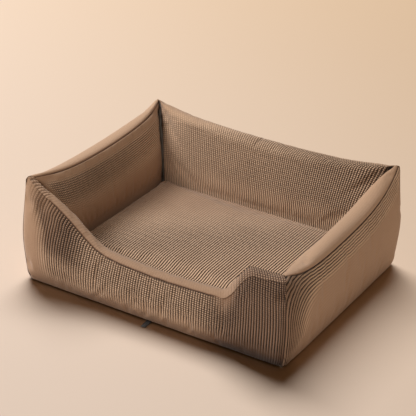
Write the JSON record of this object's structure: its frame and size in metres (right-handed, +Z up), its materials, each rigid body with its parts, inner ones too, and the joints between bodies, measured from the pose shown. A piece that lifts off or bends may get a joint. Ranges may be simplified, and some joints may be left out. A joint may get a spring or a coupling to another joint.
{
  "type": "pet cushion bed",
  "caption": "Rectangular pet bed with padded bolster walls, a dipped entrance, pointed corners and a loose seat cushion.",
  "frame": {"origin": "on the ground, under the middle of the object's outline, the zip pull in front included", "axes": "+X to the right along the entrance, +Y from the entrance to the back, +Z up"},
  "size_m": [0.6, 0.4976, 0.228],
  "materials": {
    "ribbed_cloth": "ribbed taupe pile cloth, matt",
    "smooth_binding": "smooth taupe binding cloth",
    "grip_cloth": "black anti-slip cloth",
    "lining": "plain brown lining",
    "white_fill": "white polyester fill",
    "cream_foam": "open-cell foam",
    "black_nylon": "black nylon",
    "black_tape": "black woven tape",
    "black_enamel": "black enamel",
    "black_pull": "black enamel"
  },
  "bodies": {
    "bed": {"front_outer_panel": "ribbed_cloth", "front_inner_panel": "ribbed_cloth", "front_bolster_fill": "white_fill", "back_outer_panel": "ribbed_cloth", "back_inner_panel": "ribbed_cloth", "back_bolster_fill": "white_fill", "left_outer_panel": "ribbed_cloth", "left_inner_panel": "ribbed_cloth", "left_bolster_fill": "white_fill", "right_outer_panel": "ribbed_cloth", "right_inner_panel": "ribbed_cloth", "right_bolster_fill": "white_fill", "front_top_band": "smooth_binding", "base_half_left": "grip_cloth", "base_half_right": "grip_cloth", "base_wadding": "white_fill", "floor_lining": "lining", "base_zip_teeth_left": "black_nylon", "base_zip_teeth_right": "black_nylon", "base_zip_tape_left": "black_tape", "base_zip_tape_right": "black_tape", "base_zip_stop_front": "black_enamel", "base_zip_stop_back": "black_enamel"},
    "cushion": {"cushion_underside": "grip_cloth", "cushion_border": "ribbed_cloth", "cushion_top_panel": "ribbed_cloth", "cushion_foam": "cream_foam", "cushion_wadding": "white_fill"},
    "zip_slider": {"base_zip_slider": "black_enamel"},
    "zip_pull": {"base_zip_pull": "black_pull"}
  },
  "joints": [
    {"name": "cushion_lift", "type": "slide", "parent": "bed", "child": "cushion", "axis": [0, 0, 1], "range_m": [0, 0.25]},
    {"name": "zip_run", "type": "slide", "parent": "bed", "child": "zip_slider", "axis": [0, 1, 0], "range_m": [0, 0.418]},
    {"name": "pull_swing", "type": "hinge", "parent": "zip_slider", "child": "zip_pull", "pos_m": [0, -0.21583, 0.0029], "axis": [1, 0, 0], "range_deg": [0, 172]}
  ]
}
